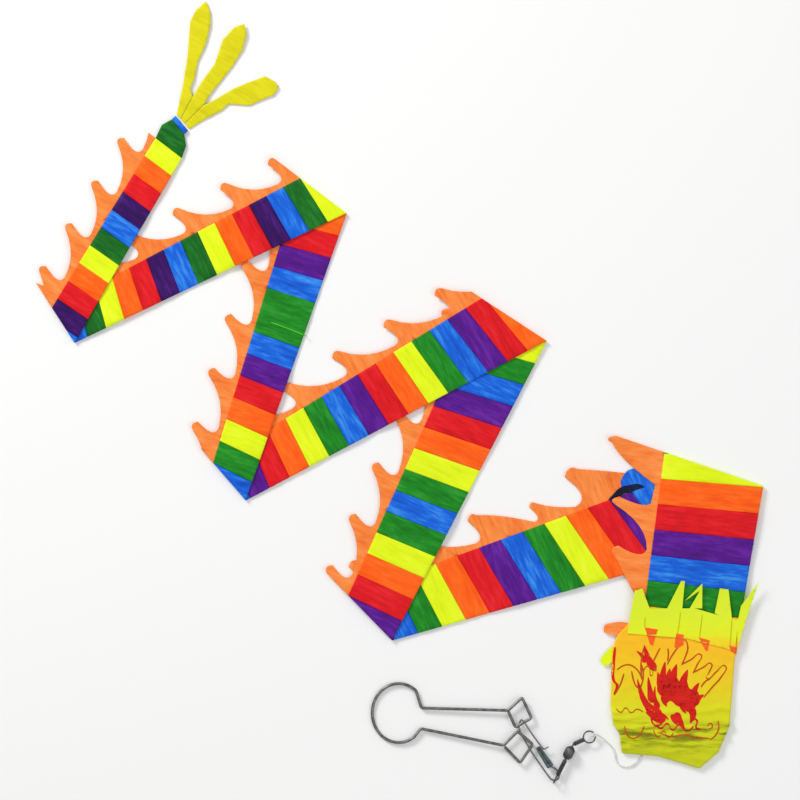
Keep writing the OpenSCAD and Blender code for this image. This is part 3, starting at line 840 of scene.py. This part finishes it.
def make_side_tabs():
    """The last flame of the neck and a loose lime flap, both showing beside the head."""
    for name, corners, material, slot in (
        ("neck_flame_tab", FIN_TAB, FIN_CLOTH, "fin_cloth"),
        ("cheek_flap", SIDE_FLAP, CLOTH["yellow"], "head_cloth"),
    ):
        tab = flat_shape(name, corners)
        sliced(tab, Vector((1, 0, 0)), 1.5 * MM)
        sliced(tab, Vector((0, 1, 0)), 1.5 * MM)
        for vertex in tab.data.vertices:
            x = (vertex.co.x - HEAD_MIDDLE.x) / MM
            wave = noise.noise(Vector((vertex.co.x * 90, vertex.co.y * 90, 2.0)))
            vertex.co.z += (1.2 + 0.03 * max(0.0, x + 60) + 0.5 * wave) * MM + cloth_lift(vertex.co)
        give_lay(tab, 1)
        smooth(tab, 60)
        dress(tab, material, slot, "head_and_neck")


# ---------- Cloth that shows at the folds ----------

def floor_spot(x, y):
    """A place on the floor, in millimetres, counted from the middle of the head instead."""
    return x - HEAD_MIDDLE.x / MM, y - HEAD_MIDDLE.y / MM


# Places on the floor, in millimetres
TURNED_BLUE = [
    (177, -75), (179, -66), (186, -61), (194, -62), (203, -66), (205, -74), (203, -80), (196, -76),
    (188, -74), (181, -78),
]
# Outline of the painted shadow on the turned blue cloth, a dark navy sheet
TURNED_FOLD_SHADOW = [
    (166, -88.5), (170, -82), (177, -75.6), (184, -74), (190, -73), (196, -75.6), (202, -80),
    (198, -83), (190, -82), (181, -80.5), (174, -85), (168, -91),
]
GREEN_JOIN = [(-103.4, 56.2), (-88, 50.6), (-73.6, 44.6)]


def make_fold_details():
    """The turned-over cloth at the first fold with a dark navy sheet of painted shadow, and the bright
    join across the fifth section.
    """
    for name, corners, material, height in (
        ("turned_blue", TURNED_BLUE, CLOTH["blue"], 0.95),
        ("turned_fold_shadow", TURNED_FOLD_SHADOW, FOLD_SHADOW_NAVY, 1.2),
    ):
        patch = flat_shape(name, [floor_spot(*c) for c in corners])
        sliced(patch, Vector((1, 0, 0)), 2 * MM)
        for vertex in patch.data.vertices:
            vertex.co.z += height * MM + cloth_lift(vertex.co)
        give_lay(patch, 2)
        smooth(patch, 60)
        dress(patch, material, "cloth_blue", "ribbon_2")
    seam = stroke("green_join", [floor_spot(*c) for c in GREEN_JOIN], 0.7)
    laid_on(seam, tree_of(bpy.data.objects["cloth_5_green"]), 0.05 * MM)
    give_lay(seam, 5)
    smooth(seam, 60)
    dress(seam, SEAM_GREEN, "cloth_green", "ribbon_5")


# ---------- Tail ----------

# The leaves lie flat this far from their hinge, then rise over this length, in millimetres
LEAF_FLAT, LEAF_RISE = 9, 8


def make_streamers():
    """The three leaves at the tail tip, flat near the hinge so that they lift clear of the band."""
    hinge = joint_place("tail_lift")
    leaves = copy_of_node("tail_streamers", "tail_leaves")
    sharp_edges_bevelled(leaves, 0.2 * MM, 1)
    sliced(leaves, Vector((1, 0, 0)), 2.2 * MM)
    sliced(leaves, Vector((0, 1, 0)), 2.2 * MM)
    for vertex in leaves.data.vertices:
        place = vertex.co.copy()
        ridge = abs(noise.noise(Vector((place.x * 36, place.y * 14, 2.2))))
        wave = noise.noise(Vector((place.x * 24, place.y * 24, 5.5)))
        puff = (1.3 * max(0.0, wave + 0.2) + 1.0 * ridge) * MM
        from_hinge = abs((place - hinge).dot(RUN[7])) / MM
        free = min(1.0, max(0.0, (from_hinge - LEAF_FLAT) / LEAF_RISE))
        vertex.co.z = place.z + free * (cloth_lift(place) + puff)
    give_lay(leaves, 7)
    smooth(leaves, 60)
    dress(leaves, STREAMER_CLOTH, "streamer_cloth", "streamers", "tail_streamers")


def make_binding():
    """The narrow blue band that gathers the tail, with the puckers its stitching draws up."""
    band = copy_of_node("tail_binding", "tail_band")
    sharp_edges_bevelled(band, 0.5 * MM, 3)
    sliced(band, SIDE[7], 0.8 * MM)
    sliced(band, RUN[7], 0.8 * MM)
    ups = [n.vector.z for n in band.data.vertex_normals]
    for vertex, up in zip(band.data.vertices, ups):
        place = vertex.co.copy()
        u = place.dot(SIDE[7]) / MM
        pucker = 0.35 * MM * math.sin(u * 3.1) + 0.25 * MM * noise.noise(place * 300)
        vertex.co.z = place.z + cloth_lift(place) + max(0.0, up) * (0.4 * MM + pucker)
    give_lay(band, 7)
    smooth(band, 60)
    dress(band, CLOTH["blue"], "cloth_blue", "ribbon_7", "tail_binding")


# ---------- Steel wire, swivel and line ----------

def wire(name, points, radius, half_sides=6, closed=False):
    """A round wire that follows these points, with closed ends."""
    curve = bpy.data.curves.new(name, "CURVE")
    curve.dimensions = "3D"
    curve.bevel_depth = radius
    curve.bevel_resolution = half_sides - 2
    curve.use_fill_caps = True
    spline = curve.splines.new("POLY")
    spline.points.add(len(points) - 1)
    for point, place in zip(spline.points, points):
        point.co = (*place, 1)
    spline.use_cyclic_u = closed
    rod = bpy.data.objects.new(name, curve)
    bpy.context.scene.collection.objects.link(rod)
    take(rod)
    bpy.ops.object.convert(target="MESH")
    rod = bpy.context.object
    edit(rod)
    bpy.ops.mesh.select_all(action="SELECT")
    bpy.ops.mesh.remove_doubles(threshold=0.002 * MM)
    bpy.ops.mesh.normals_make_consistent(inside=False)
    done()
    smooth(rod, 40)
    return rod


def eased(points, radius, steps=6):
    """The same route with each inner corner rounded by this radius."""
    route = [points[0]]
    for before, corner, after in zip(points, points[1:], points[2:]):
        back, on = before - corner, after - corner
        cut = min(radius, back.length * 0.45, on.length * 0.45)
        start, end = corner + back.normalized() * cut, corner + on.normalized() * cut
        for i in range(steps + 1):
            t = i / steps
            route.append(start * (1 - t) ** 2 + corner * 2 * t * (1 - t) + end * t * t)
    return route + [points[-1]]


def flowing(points, steps=6):
    """A smooth route through all the points."""
    ends = [points[0] * 2 - points[1]] + points + [points[-1] * 2 - points[-2]]
    route = []
    for a, b, c, d in zip(ends, ends[1:], ends[2:], ends[3:]):
        for i in range(steps):
            t = i / steps
            route.append(0.5 * (b * 2 + (c - a) * t + (a * 2 - b * 5 + c * 4 - d) * t * t
                                + (b * 3 - a - c * 3 + d) * t ** 3))
    return route + [points[-1]]


def wound(start, end, radius, turns, phase=0.0, steps=14):
    """A coil about the straight line from start to end."""
    way = (end - start).normalized()
    side = way.orthogonal().normalized()
    other = way.cross(side)
    count = int(turns * steps)
    return [
        start.lerp(end, i / count)
        + (side * math.cos(2 * math.pi * i / steps + phase)
           + other * math.sin(2 * math.pi * i / steps + phase)) * radius
        for i in range(count + 1)
    ]


SNAP_SPOT = joint_place("snap_swing") + Vector((0.7, 1.4, 0.6)) * MM


def from_snap(x, y, z):
    """A place x and y millimetres from the middle of the snap's eye, z above the floor."""
    return Vector((SNAP_SPOT.x + x * MM, SNAP_SPOT.y + y * MM, z * MM))


# Corners of the clip and the snap, in millimetres from the middle of the snap's eye
CLIP_POINTS = [(-37.7, 54), (-32.2, 41.4), (-19.2, 48.8), (-26.8, 65.2), (-38, 54.8), (-107.2, 56.6)]
CLIP_RETURN = [(-107.6, 40.2), (-41.6, 26.8), (-30.4, 38.2), (-18.2, 27.8), (-28.4, 13), (-40.8, 25.9)]
# The open ring's middle, and half its width and height
CLIP_RING = (-125.3, 52.6, 21.3, 23.6)
CLIP_WIRE = 1.2
CLIP_LENGTH, CLIP_RISE = 126, 3
SNAP_LOOP = [
    (-25, 45.8, 6.7), (-27, 47.6, 6.2), (-28.2, 46.6, 2.6), (-29.4, 41.8, 1.8), (-27.6, 36, 1.8),
    (-19.5, 22, 1.9), (-9.5, 7.5, 3), (-4.2, 0.2, 3.5), (-0.7, -1.4, 3.4), (2.6, 0.2, 2),
    (3.4, 4.6, 1.2), (0.6, 7.6, 1.2), (-4.5, 10.5, 2.2),
]
GATE = [(-24.6, 45.1, 6.7), (-20.5, 38.5, 6.6), (-13, 28, 4.7), (-9.4, 23.6, 4.6), (-5.6, 26, 4.6)]
SNAP_WIRE = 0.62 * MM
SLEEVE_LENGTH, SLEEVE_WIDTH, SLEEVE_THICK = 19 * MM, 4.8 * MM, 2.6 * MM
SLEEVE_FOOT = (-3.9, 9.6, 2.4)
SLEEVE_TURN = math.radians(123)


def clip_height(x):
    """The clip lies on the floor at its ring and rises towards the snap."""
    from_ring = x - CLIP_RING[0] + CLIP_RING[2]
    return CLIP_WIRE + from_ring * CLIP_RISE / CLIP_LENGTH


def make_clip():
    """One bent wire: an open ring, two arms and a diamond eye at the end of each arm."""
    cx, cy, half_w, half_h = CLIP_RING
    turns = [math.radians(50 + 255 * i / 40) for i in range(41)]
    ring = [(cx + half_w * math.cos(t), cy + half_h * math.sin(t)) for t in turns]
    flat = CLIP_POINTS + ring + CLIP_RETURN
    route = [from_snap(x, y, clip_height(x)) for x, y in flat]
    clip = wire("clip_wire", eased(route, 1.8 * MM), CLIP_WIRE * MM, 8)
    dress(clip, CLIP_STEEL, "spring_steel", "clip", "line_clip")


def make_sleeve():
    """The sheet sleeve folded round both legs of the snap: narrower at its far end, creased on top."""
    way = Vector((math.cos(SLEEVE_TURN), math.sin(SLEEVE_TURN), 0))
    middle = from_snap(*SLEEVE_FOOT) + way * (SLEEVE_LENGTH / 2) + Vector((0, 0, SLEEVE_THICK / 2))
    bpy.ops.mesh.primitive_cube_add(size=1, location=(0, 0, 0))
    sleeve = bpy.context.object
    sleeve.name = "snap_sleeve"
    sleeve.dimensions = (SLEEVE_LENGTH, SLEEVE_WIDTH, SLEEVE_THICK)
    settle(sleeve)
    edit(sleeve)
    bpy.ops.mesh.select_all(action="SELECT")
    bpy.ops.mesh.bevel(offset=1.1 * MM, segments=5, affect="EDGES")
    bpy.ops.mesh.subdivide(number_cuts=3)
    done()
    for vertex in sleeve.data.vertices:
        along = vertex.co.x / (SLEEVE_LENGTH / 2)
        vertex.co.y *= 1.0 - 0.22 * along
        if vertex.co.z > 0:
            vertex.co.z -= 0.55 * MM * math.exp(-(vertex.co.y / (0.6 * MM)) ** 2)
            vertex.co.z += 0.12 * MM * noise.noise(vertex.co * 400)
    sleeve.matrix_world = Matrix.Translation(middle) @ Matrix.Rotation(SLEEVE_TURN, 4, "Z")
    settle(sleeve)
    smooth(sleeve, 40)
    dress(sleeve, SLEEVE_STEEL, "spring_steel", "snap")


def make_snap():
    """The sprung wire snap with its sleeve, and its closing gate."""
    loop = wire("snap_loop", eased([from_snap(*p) for p in SNAP_LOOP], 1.4 * MM), SNAP_WIRE, 8)
    make_sleeve()
    dress(loop, SNAP_STEEL, "spring_steel", "snap", "snap_frame")
    gate = wire("gate_wire", eased([from_snap(*p) for p in GATE], 1.2 * MM), SNAP_WIRE, 8)
    dress(gate, SNAP_STEEL, "spring_steel", "gate", "snap_gate")


BARREL = joint_place("barrel_spin")
BARREL_WAY = Vector(JOINT["barrel_spin"]["axis"]).normalized()
BARREL_HALF = 5.5 * MM
EYE_WIRE = 0.6 * MM
LINE_EYE_RADIUS = 4.7 * MM
SNAP_EYE_RADIUS = 3.4 * MM
LINE_NECK = 9.5 * MM
LINE_HEADING = math.radians(25)
WRAP_RADIUS, WRAP_PITCH = 1.3 * MM, 1.5 * MM
RING_STEPS = 48


def ring_wire(name, centre, way, normal, radius, thick):
    """A closed round eye in the plane square to normal."""
    side = normal.cross(way).normalized()
    spots = [
        centre + way * math.cos(2 * math.pi * i / RING_STEPS) * radius
        + side * math.sin(2 * math.pi * i / RING_STEPS) * radius
        for i in range(RING_STEPS)
    ]
    return wire(name, spots, thick, 7, closed=True)


def make_neck(name, body, start, end, eye_centre, normal, eye_radius, pin_back):
    """An eye of wire whose two ends are twisted round each other down to its pin."""
    way = (end - start).normalized()
    out = (eye_centre - end).normalized()
    parts = [ring_wire(name, eye_centre, out, normal, eye_radius, EYE_WIRE)]
    core = [start - BARREL_WAY * pin_back, start, end]
    parts.append(wire(name, core, 0.75 * MM, 8))
    turns = (end - start).length / WRAP_PITCH
    for phase in (0.0, math.pi):
        coil = wound(start + way * 0.5 * MM, end, WRAP_RADIUS, turns / 2, phase)
        parts.append(wire(name, coil, EYE_WIRE, 5))
    dress(joined(parts, name), SWIVEL_STEEL, "spring_steel", body, body)


def make_swivel():
    """The barrel and, on its two pins, the eye for the line and the eye for the snap."""
    barrel = copy_of_node("swivel_barrel", "swivel_shell")
    sharp_edges_bevelled(barrel, 0.22 * MM, 2)
    finish_modifier(barrel, "SUBSURF", levels=1, render_levels=1)
    smooth(barrel, 50)
    dress(barrel, SWIVEL_STEEL, "spring_steel", "barrel", "swivel_barrel")
    line_start = BARREL + BARREL_WAY * (BARREL_HALF + 2 * MM)
    line_way = Vector((math.cos(LINE_HEADING), math.sin(LINE_HEADING), 0))
    line_end = line_start + line_way * LINE_NECK
    line_eye = line_end + line_way * LINE_EYE_RADIUS
    make_neck("line_side_eye", "line_eye", line_start, line_end, line_eye, Vector((0, 0, 1)),
              LINE_EYE_RADIUS, 5 * MM)
    snap_start = BARREL - BARREL_WAY * (BARREL_HALF + 0.4 * MM)
    snap_end = SNAP_SPOT + BARREL_WAY * 3.6 * MM
    side = BARREL_WAY.cross(Vector((0, 0, 1)))
    make_neck("snap_side_eye", "snap_eye", snap_start, snap_end, SNAP_SPOT, side,
              SNAP_EYE_RADIUS, -4 * MM)


LINE_RADIUS = 0.6 * MM
# The bridle line's route from the swivel's eye to the mouth, in millimetres
CORD_ROUTE = [
    (152.7, -274.5, 3.8), (153.9, -273.9, 5.1), (155.5, -273.2, 5.5), (157.3, -273.4, 5),
    (159.9, -274.9, 3), (162.9, -277.1, 1.4), (166.5, -280.3, 0.7), (169.9, -283.9, 0.6),
    (171.9, -288.5, 0.6), (173.1, -293.9, 0.6), (175.9, -298.1, 0.6), (181.1, -299.5, 0.6),
    (186.7, -298.1, 0.6), (190.9, -294.1, 0.6), (193.9, -290.9, 0.6), (196.1, -287.5, 0.6),
]


def braided(route, radius, pitch, name):
    """Three round strands laid round a route, as one mesh."""
    strands = []
    total = [0.0]
    for a, b in zip(route, route[1:]):
        total.append(total[-1] + (b - a).length)
    for strand in range(3):
        spots = []
        for i, spot in enumerate(route):
            way = (route[min(i + 1, len(route) - 1)] - route[max(i - 1, 0)]).normalized()
            side = way.cross(Vector((0, 0, 1))).normalized()
            other = way.cross(side)
            turn = 2 * math.pi * (total[i] / pitch + strand / 3)
            spots.append(spot + (side * math.cos(turn) + other * math.sin(turn)) * radius * 0.46)
        strands.append(wire(name, spots, radius * 0.54, 4))
    return joined(strands, name), total[-1]


def make_bridle():
    """The white line from the swivel's eye to the mouth, knotted at the eye."""
    corners = [Vector(p) * MM for p in CORD_ROUTE]
    route = flowing(corners, 16)
    line, length = braided(route, LINE_RADIUS, 2.6 * MM, "bridle_cord")
    dress(line, CORD_WHITE, "bridle_cord", "head_and_neck", "bridle_line")
    knot_at = corners[2]
    loops = []
    for i, turn in enumerate((0.0, 1.1, 2.2)):
        way = Vector((math.cos(turn), math.sin(turn), 0.4 * (i - 1))).normalized()
        normal = way.orthogonal().normalized()
        centre = knot_at + Vector((-0.6, -0.3, -0.4 + 0.3 * i)) * MM
        loops.append(ring_wire("knot", centre, way, normal, 1.25 * MM, 0.5 * MM))
    knot = joined(loops, "bridle_knot")
    dress(knot, CORD_WHITE, "bridle_cord", "head_and_neck")


# ---------- Run ----------

FLOOR = make_studio()
make_bridle()
make_clip()
make_snap()
make_swivel()
for k in SECTIONS:
    make_section(k)
    make_fin(k)
head = make_head()
mane = make_collar()
make_head_details(head, mane)
make_side_tabs()
make_fold_details()
make_streamers()
make_binding()
